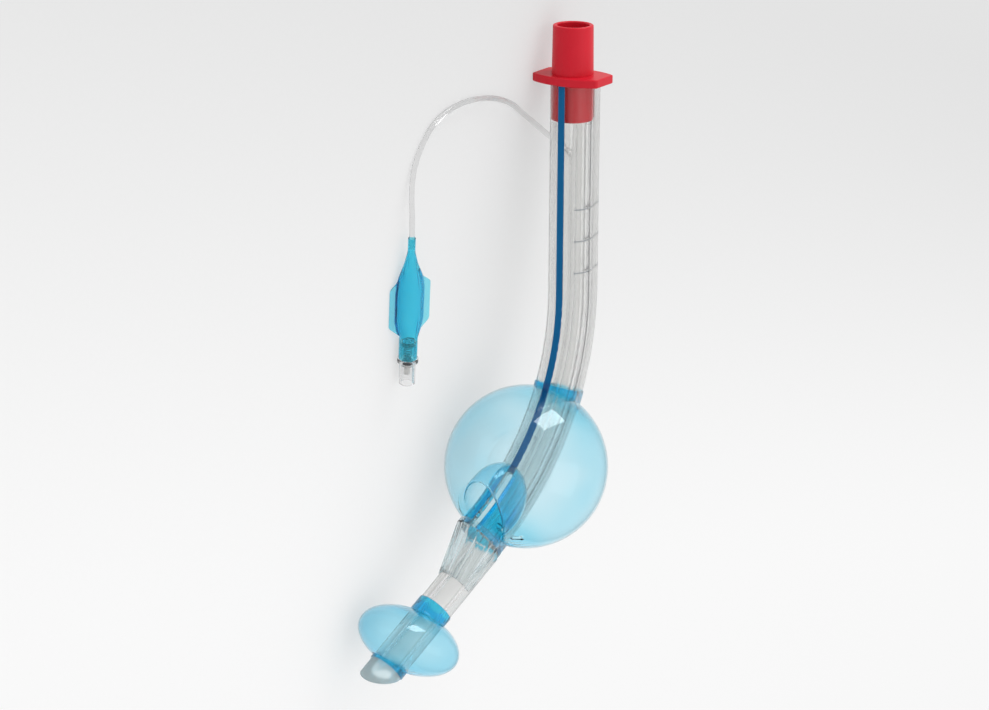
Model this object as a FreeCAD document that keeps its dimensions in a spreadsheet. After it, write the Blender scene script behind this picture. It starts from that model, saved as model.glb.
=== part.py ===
import FreeCAD, Part
import math
import os
import Sketcher
from FreeCAD import Placement, Rotation, Vector

# Laryngeal tube with two inflated cuffs, a drain channel and a pilot balloon with its one-way valve.
# Lengths are in millimetres and angles in degrees.
# Tube frame: origin under the connector's flange, +Z up the straight shaft, the tube bends towards +X.
# A station is a length measured down the ventilation channel's centreline from the flange.
# Section frame: X points to the ventilation side, -X to the drain side, turned about Z from the tube frame.

doc = FreeCAD.newDocument("LaryngealTube")

sizes = {
    # centreline
    "shaftStraight": 82.0,
    "bendRadius": 107.5,
    "bendTurn": 52.5,
    "sectionTurn": 18.0,  # the soft tube lies twisted: ventilation side against the plane of the bend
    # extrusion
    "ventOuterRadius": 8.3,
    "ventLumenRadius": 5.6,
    "ventEndStation": 185.5,
    "drainOuterRadius": 5.9,
    "drainLumenRadius": 3.0,
    "drainOffset": 9.4,
    "tailOuterRadius": 6.9,
    "tailOffset": 9.1,
    "inflationLumenRadius": 0.6,
    "inflationBack": 7.2,
    "inflationSide": 4.3,
    "inflationStart": 27.0,
    "throatPortStation": 140.0,
    "gulletPortStation": 228.0,
    "portRadius": 0.5,
    "stripeWidth": 2.8,
    "stripeDepth": 0.5,
    "tipStation": 248.5,
    "tipBevel": 45.0,
    # ventilation slot and side eyelets
    "slotTopStation": 158.0,
    "slotWidth": 3.6,
    "eyeletStation": 178.5,
    "eyeletRadius": 1.3,
    "eyeletForward": 2.0,
    # connector
    "coneTopRadius": 7.65,
    "coneLength": 18.7,
    "coneTaper": 0.0125,  # growth of the radius along the length
    "coneBoreRadius": 6.1,
    "lipRound": 0.6,
    "flangeLength": 28.0,
    "flangeDepth": 20.3,
    "flangeEnd": 12.4,
    "flangeThickness": 3.2,
    "flangeCorner": 1.6,
    "flangeRound": 0.5,
    "spigotLength": 14.5,
    "spigotDraft": 0.15,
    "spigotBoreRadius": 4.7,
    # throat cuff
    "filmThickness": 0.4,
    "throatCuffStation": 151.7,
    "throatCuffRadius": 31.5,
    "throatCuffBack": 0.65,
    "throatCollarAbove": 33.2,  # from the cuff's centre
    "cleftBelow": 18.6,  # hollow in front of the slot, from the cuff's centre
    "cleftForward": 9.0,
    "cleftHalfLength": 15.0,
    "cleftHalfWidth": 10.0,
    "cleftRound": 1.6,
    # gullet cuff
    "gulletCuffStation": 231.9,
    "gulletCuffRadius": 20.4,
    "gulletCuffHalfHeight": 12.0,
    "gulletCuffLean": 20.0,
    "gulletCollarAbove": 16.4,  # from the cuff's centre
    "gulletCollarBelow": 14.0,
    # ventilation ramp
    "rampCollar": 2.0,
    "rampEndStation": 203.5,
    "rampWall": 0.9,
    "rampNoseBack": 8.8,
    "rampNoseRadius": 7.4,
    "rampRearRadius": 7.1,
    "rampFloor": 1.2,
    "fluteRadius": 1.7,
    "fluteDepth": 0.5,
    "fluteStep": 30.0,
    "fluteTop": 3.4,
    # inflation line
    "lineRadius": 1.0,
    "lineStation": 29.5,
    "lineSeat": 2.0,
    "lineTurn": 43.4,  # leaves the wall this far round from the ventilation side
    "lineRise": 40.5,
    "bondClearance": 0.05,
    "lineInNeck": 4.0,
    "lineLead": 7.0,
    # pilot balloon
    "neckRadius": 1.4,
    "neckLength": 5.4,
    "pilotTaper": 11.6,
    "pilotBelly": 18.0,
    "pilotShoulder": 6.0,
    "sleeveLength": 9.0,
    "pilotRadius": 4.0,
    "sleeveRadius": 3.45,
    "pilotWall": 0.45,
    "seamTop": 8.6,
    "seamSlope": 5.5,
    "seamRoot": 2.0,
    "seamHalf": 8.8,
    "seamThickness": 0.6,
    "seamCorner": 1.0,
    "pilotHeading": 11.0,
    "pilotAcross": 84.2,  # the neck's place, from the flange
    "pilotAlong": 47.0,
    # valve
    "stubLength": 7.0,
    "collarRadius": 3.95,
    "collarHeight": 1.9,
    "collarRound": 0.4,
    "barrelRadius": 3.0,
    "barrelLength": 8.8,
    "luerRadius": 2.15,
    "luerDepth": 7.5,
    "luerTaper": 0.03,  # 6 % on the diameter
    "webThickness": 1.0,
    "chamberRadius": 2.2,
    "stemRadius": 1.1,
    "stemClearance": 0.25,
    "stemDepth": 4.0,
    "plateRadius": 1.8,
    "stemPlate": 0.6,
    "stemTail": 2.0,
    "tailRadius": 0.8,
    "sealRadius": 1.9,
    "sealThickness": 1.0,
    "springRadius": 1.4,
    "wireRadius": 0.18,
    "springTurns": 5.0,
    "cageThickness": 1.6,
    "ventHoleRadius": 0.45,
    "ventHoleOut": 1.3,
}
sheet = doc.addObject("Spreadsheet::Sheet", "Sizes")
for row, (alias, amount) in enumerate(sizes.items(), start=1):
    sheet.set("A%d" % row, alias)
    sheet.set("B%d" % row, str(amount))
    sheet.setAlias("B%d" % row, alias)
doc.recompute()

upAxis = Vector(0, 0, 1)
bendEnd = "Sizes.shaftStraight + Sizes.bendRadius * Sizes.bendTurn * pi / 180"


def measure(formula):
    return float(sheet.evalExpression(formula))


def bind(target, **formulas):
    for prop, formula in formulas.items():
        target.setExpression(prop, formula)
    return target


# Placement at a station: Z runs back up the tube, X towards the inside of the bend.
def station(length):
    straight = measure("Sizes.shaftStraight")
    radius = measure("Sizes.bendRadius")
    turned = min(max(math.degrees((length - straight) / radius), 0), measure("Sizes.bendTurn"))
    beyond = max(length - measure(bendEnd), 0)
    swing = Placement(Vector(), Rotation(Vector(0, -1, 0), turned), Vector(radius, 0, -straight))
    return swing * Placement(Vector(0, 0, -min(length, straight) - beyond), Rotation())


def sectionAt(length):
    return station(length) * Placement(Vector(), Rotation(upAxis, measure("Sizes.sectionTurn")))


def at(x, y, z, axis=upAxis, angle=0):
    return Placement(Vector(x, y, z), Rotation(axis, angle))


# Sketch helpers: a driven constraint takes its value from the sheet.
def drive(sketch, formula, kind, *items):
    index = sketch.addConstraint(Sketcher.Constraint(kind, *items, measure(formula)))
    sketch.setExpression("Constraints[%d]" % index, formula)


def tie(sketch, kind, *items):
    sketch.addConstraint(Sketcher.Constraint(kind, *items))


def arcBetween(centre, radius, first, last):
    circle = Part.Circle(centre, upAxis, radius)
    return Part.ArcOfCircle(circle, first, last)


# Round section whose centre lies behind and beside the ventilation axis.
def roundSection(radius, back="0", side="0"):
    def draw(sketch):
        centre = Vector(-measure(back), -measure(side), 0)
        sketch.addGeometry(Part.Circle(centre, upAxis, measure(radius)))
        drive(sketch, radius, "Radius", 0)
        if back == "0":
            tie(sketch, "Coincident", 0, 3, -1, 1)
            return
        drive(sketch, back, "DistanceX", 0, 3, -1, 1)
        if side == "0":
            tie(sketch, "PointOnObject", 0, 3, -1)
        else:
            drive(sketch, side, "DistanceY", 0, 3, -1, 1)
    return draw


# Egg-shaped section round two channels: two arcs and their tangents, with the stripe's groove in front.
def eggSection(front, rear, frontBack="0", rearBack="Sizes.drainOffset", grooved=False):
    def draw(sketch):
        frontRadius, rearRadius = measure(front), measure(rear)
        frontCentre = Vector(-measure(frontBack), 0, 0)
        rearCentre = Vector(-measure(rearBack), 0, 0)
        lean = math.acos((rearRadius - frontRadius) / (frontCentre.x - rearCentre.x))
        touch = Vector(math.cos(lean), math.sin(lean), 0)
        mirrored = Vector(touch.x, -touch.y, 0)
        frontEnds = [frontCentre + way * frontRadius for way in (touch, mirrored)]
        rearEnds = [rearCentre + way * rearRadius for way in (touch, mirrored)]
        sketch.addGeometry(arcBetween(rearCentre, rearRadius, lean, 2 * math.pi - lean))
        sketch.addGeometry(Part.LineSegment(frontEnds[0], rearEnds[0]))
        sketch.addGeometry(Part.LineSegment(rearEnds[1], frontEnds[1]))
        tie(sketch, "Tangent", 1, 2, 0, 1)
        tie(sketch, "Tangent", 0, 2, 2, 1)
        drive(sketch, rear, "Radius", 0)
        tie(sketch, "PointOnObject", 0, 3, -1)
        drive(sketch, rearBack, "DistanceX", 0, 3, -1, 1)
        if grooved:
            drawGroovedFront(sketch, frontRadius, lean)
        else:
            sketch.addGeometry(arcBetween(frontCentre, frontRadius, -lean, lean))
            tie(sketch, "Tangent", 3, 2, 1, 1)
        tie(sketch, "Tangent", 2, 2, 3, 1)
        drive(sketch, front, "Radius", 3)
        if frontBack == "0":
            tie(sketch, "Coincident", 3, 3, -1, 1)
        else:
            tie(sketch, "PointOnObject", 3, 3, -1)
            drive(sketch, frontBack, "DistanceX", 3, 3, -1, 1)
    return draw


def drawGroovedFront(sketch, radius, lean):
    half = measure("Sizes.stripeWidth") / 2
    opening = math.asin(half / radius)
    edge = radius * math.cos(opening)
    floor = radius - measure("Sizes.stripeDepth")
    sketch.addGeometry(arcBetween(Vector(), radius, -lean, -opening))
    sketch.addGeometry(arcBetween(Vector(), radius, opening, lean))
    sketch.addGeometry(Part.LineSegment(Vector(edge, -half, 0), Vector(floor, -half, 0)))
    sketch.addGeometry(Part.LineSegment(Vector(floor, -half, 0), Vector(floor, half, 0)))
    sketch.addGeometry(Part.LineSegment(Vector(floor, half, 0), Vector(edge, half, 0)))
    tie(sketch, "Tangent", 4, 2, 1, 1)
    tie(sketch, "Coincident", 3, 3, 4, 3)
    tie(sketch, "Equal", 3, 4)
    tie(sketch, "Coincident", 3, 2, 5, 1)
    tie(sketch, "Coincident", 5, 2, 6, 1)
    tie(sketch, "Coincident", 6, 2, 7, 1)
    tie(sketch, "Coincident", 7, 2, 4, 1)
    tie(sketch, "Horizontal", 5)
    tie(sketch, "Horizontal", 7)
    tie(sketch, "Symmetric", 6, 1, 6, 2, -1)
    drive(sketch, "Sizes.stripeWidth", "DistanceY", 6, 1, 6, 2)
    drive(sketch, "Sizes.ventOuterRadius - Sizes.stripeDepth", "DistanceX", -1, 1, 6, 1)


# The stripe's own section fills that groove.
def stripeSection(sketch):
    radius = measure("Sizes.ventOuterRadius")
    half = measure("Sizes.stripeWidth") / 2
    floor = radius - measure("Sizes.stripeDepth")
    opening = math.asin(half / radius)
    edge = radius * math.cos(opening)
    sketch.addGeometry(arcBetween(Vector(), radius, -opening, opening))
    sketch.addGeometry(Part.LineSegment(Vector(edge, half, 0), Vector(floor, half, 0)))
    sketch.addGeometry(Part.LineSegment(Vector(floor, half, 0), Vector(floor, -half, 0)))
    sketch.addGeometry(Part.LineSegment(Vector(floor, -half, 0), Vector(edge, -half, 0)))
    tie(sketch, "Coincident", 0, 3, -1, 1)
    tie(sketch, "Coincident", 0, 2, 1, 1)
    tie(sketch, "Coincident", 1, 2, 2, 1)
    tie(sketch, "Coincident", 2, 2, 3, 1)
    tie(sketch, "Coincident", 3, 2, 0, 1)
    tie(sketch, "Horizontal", 1)
    tie(sketch, "Horizontal", 3)
    tie(sketch, "Symmetric", 2, 1, 2, 2, -1)
    drive(sketch, "Sizes.ventOuterRadius", "Radius", 0)
    drive(sketch, "Sizes.stripeWidth", "DistanceY", 2, 2, 2, 1)
    drive(sketch, "Sizes.ventOuterRadius - Sizes.stripeDepth", "DistanceX", -1, 1, 2, 1)


# Rectangle on the ventilation side, used to cut the slot.
def slotSection(sketch):
    near = measure("Sizes.ventLumenRadius / 2")
    far = measure("Sizes.ventOuterRadius * 1.5")
    half = measure("Sizes.slotWidth") / 2
    corners = [Vector(near, -half, 0), Vector(far, -half, 0), Vector(far, half, 0), Vector(near, half, 0)]
    for index, corner in enumerate(corners):
        sketch.addGeometry(Part.LineSegment(corner, corners[(index + 1) % 4]))
    for index in range(4):
        tie(sketch, "Coincident", index, 2, (index + 1) % 4, 1)
    tie(sketch, "Horizontal", 0)
    tie(sketch, "Horizontal", 2)
    tie(sketch, "Vertical", 3)
    tie(sketch, "Symmetric", 1, 1, 1, 2, -1)
    drive(sketch, "Sizes.slotWidth", "DistanceY", 1, 1, 1, 2)
    drive(sketch, "Sizes.ventOuterRadius * 1.5", "DistanceX", -1, 1, 1, 1)
    drive(sketch, "Sizes.ventLumenRadius / 2", "DistanceX", -1, 1, 3, 1)


def placedSketch(name, draw, placement):
    sketch = doc.addObject("Sketcher::SketchObject", name)
    draw(sketch)
    sketch.Placement = placement
    return sketch


def fuse(name, *pieces):
    joined = doc.addObject("Part::MultiFuse", name)
    joined.Shapes = list(pieces)
    joined.Refine = True
    return joined


def cut(name, base, tool):
    left = doc.addObject("Part::Cut", name)
    left.Base = base
    left.Tool = tool
    return left


# Carries a section along the centreline from one station to another: straight shaft, bend, straight tip.
def alongTube(name, draw, start, end):
    limits = ["-1e3", "Sizes.shaftStraight", bendEnd, "1e3"]
    runs = []
    for leg in range(3):
        first = start if measure(start) > measure(limits[leg]) else limits[leg]
        last = end if measure(end) < measure(limits[leg + 1]) else limits[leg + 1]
        if measure(last) <= measure(first):
            continue
        legName = "%sLeg%d" % (name, leg)
        sketch = placedSketch(legName + "Section", draw, sectionAt(measure(first)))
        length = "(%s) - (%s)" % (last, first)
        if leg == 1:
            run = doc.addObject("Part::Revolution", legName)
            run.Source = sketch
            run.Axis = Vector(0, -1, 0)
            bind(run, **{"Base.x": "Sizes.bendRadius", "Base.z": "-Sizes.shaftStraight"})
            bind(run, Angle="(%s) / Sizes.bendRadius * 180 / pi" % length)
        else:
            run = doc.addObject("Part::Extrusion", legName)
            run.Base = sketch
            run.DirMode = "Normal"
            run.Reversed = True
            bind(run, LengthFwd=length)
        run.Solid = True
        runs.append(run)
    return runs[0] if len(runs) == 1 else fuse(name, *runs)


def cylinder(name, radius, height, placement):
    rod = bind(doc.addObject("Part::Cylinder", name), Radius=radius, Height=height)
    rod.Placement = placement
    return rod


def sphere(name, radius, placement):
    ball = bind(doc.addObject("Part::Sphere", name), Radius=radius)
    ball.Placement = placement
    return ball


# Slot and side eyelets, cut alike through the extrusion and the cuff's sleeve.
acrossTube = Rotation(Vector(1, 0, 0), 90)
slotStart = "Sizes.slotTopStation + Sizes.slotWidth / 2"
slotReach = "Sizes.ventOuterRadius * 1.5 - Sizes.ventLumenRadius / 2"
slotRun = alongTube("slotRun", slotSection, slotStart, "Sizes.ventEndStation + 1")
slotEnd = cylinder(
    "slotEnd", "Sizes.slotWidth / 2", slotReach,
    sectionAt(measure(slotStart)) * at(measure("Sizes.ventLumenRadius / 2"), 0, 0, Vector(0, 1, 0), 90),
)
eyeletSpan = "4 * Sizes.ventOuterRadius"
eyelets = cylinder(
    "eyelets", "Sizes.eyeletRadius", eyeletSpan,
    sectionAt(measure("Sizes.eyeletStation"))
    * Placement(Vector(measure("Sizes.eyeletForward"), measure(eyeletSpan) / 2, 0), acrossTube),
)
gasOpenings = fuse("gasOpenings", slotRun, slotEnd, eyelets)

# Clear extrusion: double channel down to the ramp, then the drain channel alone to the bevelled tip.
inflationSection = roundSection("Sizes.inflationLumenRadius", "Sizes.inflationBack", "Sizes.inflationSide")
doubleRun = alongTube(
    "doubleRun", eggSection("Sizes.ventOuterRadius", "Sizes.drainOuterRadius", grooved=True),
    "0", "Sizes.ventEndStation",
)
drainEnd = "Sizes.tipStation + 2 * Sizes.tailOuterRadius"
tailBody = roundSection("Sizes.tailOuterRadius", "Sizes.tailOffset")
tailRun = alongTube("tailRun", tailBody, "Sizes.ventEndStation", drainEnd)
ventLumen = alongTube("ventLumen", roundSection("Sizes.ventLumenRadius"), "-1", "Sizes.ventEndStation + 1")
drainLumen = alongTube(
    "drainLumen", roundSection("Sizes.drainLumenRadius", "Sizes.drainOffset"), "-1", drainEnd + " + 1",
)
inflationLumen = alongTube(
    "inflationLumen", inflationSection, "Sizes.inflationStart",
    "Sizes.gulletPortStation + 2 * Sizes.portRadius",
)
# The inflation line is bonded into a slanting hole that meets its lumen.
lineBore = "Sizes.lineRadius + Sizes.bondClearance"
lineRise, lineTurn = (math.radians(measure(name)) for name in ("Sizes.lineRise", "Sizes.lineTurn"))
lineAhead = Vector(math.cos(lineTurn), -math.sin(lineTurn), 0) * math.cos(lineRise)
lineStart = sectionAt(measure("Sizes.lineStation"))
lineWay = lineStart.Rotation.multVec(lineAhead + upAxis * math.sin(lineRise))
inLumen = Vector(-measure("Sizes.inflationBack"), -measure("Sizes.inflationSide"), 0)
lineRoot = Placement(lineStart.multVec(inLumen), Rotation(upAxis, lineWay))
lineHole = cylinder("lineHole", lineBore, "2 * Sizes.drainOuterRadius", lineRoot)
ports = [lineHole]
for name, place in (("throatPort", "Sizes.throatPortStation"), ("gulletPort", "Sizes.gulletPortStation")):
    ports.append(cylinder(
        name, "Sizes.portRadius", "Sizes.tailOuterRadius",
        sectionAt(measure(place)) * Placement(inLumen, acrossTube),
    ))
bevelSpan = "8 * Sizes.drainOuterRadius"
bevelSide = measure(bevelSpan)
bevel = bind(doc.addObject("Part::Box", "bevel"), Length=bevelSpan, Width=bevelSpan, Height=bevelSpan)
bevel.Placement = (
    sectionAt(measure("Sizes.tipStation"))
    * at(-measure("Sizes.drainOffset"), 0, 0, Vector(0, 1, 0), measure("Sizes.tipBevel"))
    * at(-bevelSide / 2, -bevelSide / 2, -bevelSide)
)
extrusion = fuse("extrusion", doubleRun, tailRun)
hollows = fuse("hollows", ventLumen, drainLumen, inflationLumen, *ports)
bored = cut("bored", extrusion, hollows)
slotted = cut("slotted", bored, gasOpenings)
airwayTube = cut("airwayTube", slotted, bevel)

# Dark stripe let into the ventilation side, as far as the slot.
stripeRun = alongTube("stripeRun", stripeSection, "0", "Sizes.ventEndStation")
contrastStripe = cut("contrastStripe", stripeRun, gasOpenings)


# Thin cuff on the throat: a ball with a rounded cleft in front of the slot, and a sleeve bonded to the tube.
def hollowedBall(name, inset):
    cuffFrame = sectionAt(measure("Sizes.throatCuffStation"))
    centre = cuffFrame * at(-measure("Sizes.throatCuffBack"), 0, 0, upAxis, 180)
    ball = sphere(name + "Whole", "Sizes.throatCuffRadius - %s" % inset, centre)
    cleft = doc.addObject("Part::Ellipsoid", name + "Cleft")
    cleftLength = "Sizes.cleftHalfLength + %s" % inset
    bind(cleft, Radius1=cleftLength, Radius2=cleftLength, Radius3="Sizes.cleftHalfWidth + %s" % inset)
    cleft.Placement = cuffFrame * at(measure("Sizes.cleftForward"), 0, -measure("Sizes.cleftBelow"))
    hollowed = cut(name + "Hollowed", ball, cleft)
    doc.recompute()
    rimRadius = measure("Sizes.cleftRound - %s" % inset)
    rims = []
    for number, edge in enumerate(hollowed.Shape.Edges, start=1):
        sides = [face for face in hollowed.Shape.Faces if any(edge.isSame(other) for other in face.Edges)]
        if len(sides) == 2:
            rims.append((number, rimRadius, rimRadius))
    rounded = doc.addObject("Part::Fillet", name)
    rounded.Base = hollowed
    rounded.Edges = rims
    return rounded


ballOutside = hollowedBall("ballOutside", "0")
ballInside = hollowedBall("ballInside", "Sizes.filmThickness")
filmFront = "Sizes.ventOuterRadius + Sizes.filmThickness"
filmRear = "Sizes.drainOuterRadius + Sizes.filmThickness"
throatCollar = "Sizes.throatCuffStation - Sizes.throatCollarAbove"
sleeveRun = alongTube(
    "sleeveRun", eggSection(filmFront, filmRear), throatCollar, "Sizes.ventEndStation",
)
tubeCore = alongTube(
    "tubeCore", eggSection("Sizes.ventOuterRadius", "Sizes.drainOuterRadius"),
    throatCollar + " - 1", "Sizes.ventEndStation + 1",
)
throatSkin = fuse("throatSkin", ballOutside, sleeveRun)
throatVoid = fuse("throatVoid", ballInside, tubeCore)
throatFilm = cut("throatFilm", throatSkin, throatVoid)
throatCuff = cut("throatCuff", throatFilm, gasOpenings)


# Flattened cuff near the tip, leaning on the drain tube, with a bonded collar on each side.
def leaningBall(name, inset):
    ball = doc.addObject("Part::Ellipsoid", name)
    bind(ball, Radius1="Sizes.gulletCuffHalfHeight - %s" % inset)
    bind(ball, Radius2="Sizes.gulletCuffRadius - %s" % inset, Radius3="Sizes.gulletCuffRadius - %s" % inset)
    ball.Placement = (
        sectionAt(measure("Sizes.gulletCuffStation"))
        * at(-measure("Sizes.tailOffset"), 0, 0, upAxis, -measure("Sizes.sectionTurn"))
        * at(0, 0, 0, Vector(0, 1, 0), measure("Sizes.gulletCuffLean"))
    )
    return ball


gulletTop = "Sizes.gulletCuffStation - Sizes.gulletCollarAbove"
gulletEnd = "Sizes.gulletCuffStation + Sizes.gulletCollarBelow"
tailFilm = roundSection("Sizes.tailOuterRadius + Sizes.filmThickness", "Sizes.tailOffset")
collarRun = alongTube("collarRun", tailFilm, gulletTop, gulletEnd)
gulletCollar = cut("gulletCollar", collarRun, bevel)
tailCore = alongTube("tailCore", tailBody, gulletTop + " - 1", gulletEnd + " + 1")
gulletOutside = leaningBall("gulletOutside", "0")
gulletInside = leaningBall("gulletInside", "Sizes.filmThickness")
gulletSkin = fuse("gulletSkin", gulletOutside, gulletCollar)
gulletVoid = fuse("gulletVoid", gulletInside, tailCore)
gulletCuff = cut("gulletCuff", gulletSkin, gulletVoid)

# Fluted hood that closes the ventilation channel and slopes down onto the drain tube.
rampTop = "Sizes.ventEndStation - Sizes.rampCollar"
hoodFront = filmFront + " + Sizes.rampWall"
hoodRear = filmRear + " + Sizes.rampWall"
noseInside = "Sizes.rampNoseRadius - Sizes.rampWall"


def loftBetween(name, upper, upperStation, lower, lowerStation):
    loft = doc.addObject("Part::Loft", name)
    loft.Sections = [
        placedSketch(name + "Upper", upper, sectionAt(measure(upperStation))),
        placedSketch(name + "Lower", lower, sectionAt(measure(lowerStation))),
    ]
    loft.Solid = True
    loft.Ruled = True
    return loft


hoodCollar = alongTube("hoodCollar", eggSection(hoodFront, hoodRear), rampTop, "Sizes.ventEndStation")
hoodSlope = loftBetween(
    "hoodSlope", eggSection(hoodFront, hoodRear), "Sizes.ventEndStation",
    eggSection("Sizes.rampNoseRadius", "Sizes.rampRearRadius", "Sizes.rampNoseBack"), "Sizes.rampEndStation",
)
hoodMouth = alongTube("hoodMouth", eggSection(filmFront, filmRear), rampTop + " - 1", "Sizes.ventEndStation")
hoodHollow = loftBetween(
    "hoodHollow", eggSection(filmFront, filmRear), "Sizes.ventEndStation",
    eggSection(noseInside, "Sizes.tailOuterRadius", "Sizes.rampNoseBack"),
    "Sizes.rampEndStation - Sizes.rampFloor",
)
tailBeside = alongTube("tailBeside", tailBody, "Sizes.ventEndStation", "Sizes.rampEndStation + 1")
hoodSpan = "6 * Sizes.ventOuterRadius"
behindSpan = measure(hoodSpan)
behindTail = doc.addObject("Part::Box", "behindTail")
bind(behindTail, Length=hoodSpan, Width=hoodSpan, Height=hoodSpan)
behindTail.Placement = sectionAt(measure("Sizes.rampEndStation")) * at(
    -measure("Sizes.tailOffset") - behindSpan, -behindSpan / 2, -behindSpan / 4
)
flutes = []
fluteOut = measure("Sizes.fluteRadius - Sizes.fluteDepth")
for step in range(-3, 4):
    turn = math.radians(step * measure("Sizes.fluteStep"))
    outward = Vector(math.cos(turn), math.sin(turn), 0)
    upperFrame = sectionAt(measure("Sizes.ventEndStation"))
    lowerFrame = sectionAt(measure("Sizes.rampEndStation"))
    upper = upperFrame.multVec(outward * (measure(hoodFront) + fluteOut))
    nose = Vector(-measure("Sizes.rampNoseBack"), 0, 0)
    lower = lowerFrame.multVec(nose + outward * (measure("Sizes.rampNoseRadius") + fluteOut))
    along = (lower - upper).normalize()
    top = upper + along * measure("Sizes.fluteTop - Sizes.rampCollar")
    flutePlace = Placement(top, Rotation(upAxis, along))
    flutes.append(cylinder("flute%d" % (step + 3), "Sizes.fluteRadius", hoodSpan, flutePlace))
    flutes.append(sphere("fluteArch%d" % (step + 3), "Sizes.fluteRadius", flutePlace))
hood = fuse("hood", hoodCollar, hoodSlope)
hoodSpace = fuse("hoodSpace", hoodMouth, hoodHollow, tailBeside, behindTail)
hoodShell = cut("hoodShell", hood, hoodSpace)
ventilationRamp = cut("ventilationRamp", hoodShell, fuse("flutes", *flutes))


# Connector: 15 mm cone over a flange with flat ends, and a spigot pressed into the ventilation channel.
def sketchOn(body, role, name):
    sketch = body.newObject("Sketcher::SketchObject", name)
    plane = next(item for item in body.Origin.OriginFeatures if item.Role == role)
    sketch.AttachmentSupport = (plane, [""])
    sketch.MapMode = "FlatFace"
    return sketch


def pin(sketch, item, end, x, y):
    for kind, axis, formula in (("DistanceX", -2, x), ("DistanceY", -1, y)):
        if formula == "0":
            tie(sketch, "PointOnObject", item, end, axis)
        else:
            drive(sketch, formula, kind, -1, 1, item, end)


# Closed outline of straight edges, each corner given by two formulas.
def polygon(sketch, corners):
    points = [Vector(measure(x), measure(y), 0) for x, y in corners]
    count = len(points)
    for index, point in enumerate(points):
        sketch.addGeometry(Part.LineSegment(point, points[(index + 1) % count]))
    for index in range(count):
        tie(sketch, "Coincident", index, 2, (index + 1) % count, 1)
    for index, (x, y) in enumerate(corners):
        pin(sketch, index, 1, x, y)


def turned(body, kind, name, corners):
    sketch = sketchOn(body, "XZ_Plane", name + "Profile")
    polygon(sketch, corners)
    feature = body.newObject("PartDesign::" + kind, name)
    feature.Profile = sketch
    feature.ReferenceAxis = (sketch, ["V_Axis"])
    feature.Angle = 360
    return feature


def fillet(body, name, radius, wanted):
    doc.recompute()
    base = body.Tip
    edges = ["Edge%d" % number for number, edge in enumerate(base.Shape.Edges, start=1) if wanted(edge)]
    feature = body.newObject("PartDesign::Fillet", name)
    feature.Base = (base, edges)
    return bind(feature, Radius=radius)


connector = doc.addObject("PartDesign::Body", "connector")
flangeSketch = sketchOn(connector, "XY_Plane", "FlangeOutline")
halfLong, halfDeep = measure("Sizes.flangeLength / 2"), measure("Sizes.flangeDepth / 2")
halfEnd = measure("Sizes.flangeEnd / 2")
bow = "(Sizes.flangeDepth - Sizes.flangeEnd) / 2"
bulge = "((Sizes.flangeLength / 2)^2 + (%s)^2) / (Sizes.flangeDepth - Sizes.flangeEnd)" % bow
swell = measure(bulge)
sweep = math.asin(halfLong / swell)
flangeSketch.addGeometry(Part.LineSegment(Vector(halfEnd, halfLong, 0), Vector(-halfEnd, halfLong, 0)))
flangeSketch.addGeometry(arcBetween(Vector(swell - halfDeep, 0, 0), swell, math.pi - sweep, math.pi + sweep))
flangeSketch.addGeometry(Part.LineSegment(Vector(-halfEnd, -halfLong, 0), Vector(halfEnd, -halfLong, 0)))
flangeSketch.addGeometry(arcBetween(Vector(halfDeep - swell, 0, 0), swell, -sweep, sweep))
for index in range(4):
    tie(flangeSketch, "Coincident", index, 2, (index + 1) % 4, 1)
tie(flangeSketch, "Symmetric", 0, 1, 0, 2, -2)
tie(flangeSketch, "Symmetric", 2, 1, 2, 2, -2)
tie(flangeSketch, "Equal", 1, 3)
drive(flangeSketch, "Sizes.flangeLength / 2", "DistanceY", -1, 1, 0, 1)
drive(flangeSketch, "Sizes.flangeLength / 2", "DistanceY", 2, 1, -1, 1)
drive(flangeSketch, "Sizes.flangeEnd", "DistanceX", 0, 2, 0, 1)
drive(flangeSketch, "Sizes.flangeEnd", "DistanceX", 2, 1, 2, 2)
drive(flangeSketch, bulge, "Radius", 1)
flange = connector.newObject("PartDesign::Pad", "Flange")
flange.Profile = flangeSketch
bind(flange, Length="Sizes.flangeThickness")
fillet(
    connector, "FlangeCorners", "Sizes.flangeCorner",
    lambda edge: edge.Curve.TypeId == "Part::GeomLine" and abs(edge.Curve.Direction.z) > 0.9,
)
fillet(
    connector, "FlangeEdges", "Sizes.flangeRound",
    lambda edge: edge.BoundBox.ZLength < measure("Sizes.flangeThickness / 2"),
)
coneFoot = "Sizes.coneTopRadius + Sizes.coneLength * Sizes.coneTaper"
coneTop = "Sizes.flangeThickness + Sizes.coneLength"
turned(connector, "Revolution", "Cone", [
    ("0", "-Sizes.spigotLength"),
    ("Sizes.ventLumenRadius - Sizes.spigotDraft", "-Sizes.spigotLength"),
    ("Sizes.ventLumenRadius", "0"),
    (coneFoot, "0"),
    (coneFoot, "Sizes.flangeThickness"),
    ("Sizes.coneTopRadius", coneTop),
    ("0", coneTop),
])
notchSketch = sketchOn(connector, "XY_Plane", "NotchOutline")
roundSection("Sizes.drainLumenRadius", "Sizes.drainOffset")(notchSketch)
notch = connector.newObject("PartDesign::Pocket", "Notch")
notch.Profile = notchSketch
notch.Reversed = True
bind(notch, Length="Sizes.flangeThickness")
turned(connector, "Groove", "Bore", [
    ("0", "-Sizes.spigotLength"),
    ("Sizes.spigotBoreRadius", "-Sizes.spigotLength"),
    ("Sizes.spigotBoreRadius", "0"),
    ("Sizes.coneBoreRadius", "Sizes.flangeThickness"),
    ("Sizes.coneBoreRadius", coneTop),
    ("0", coneTop),
])
lipHeight = measure(coneTop)
fillet(connector, "Lip", "Sizes.lipRound", lambda edge: edge.BoundBox.ZMin > lipHeight - 0.01)


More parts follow.
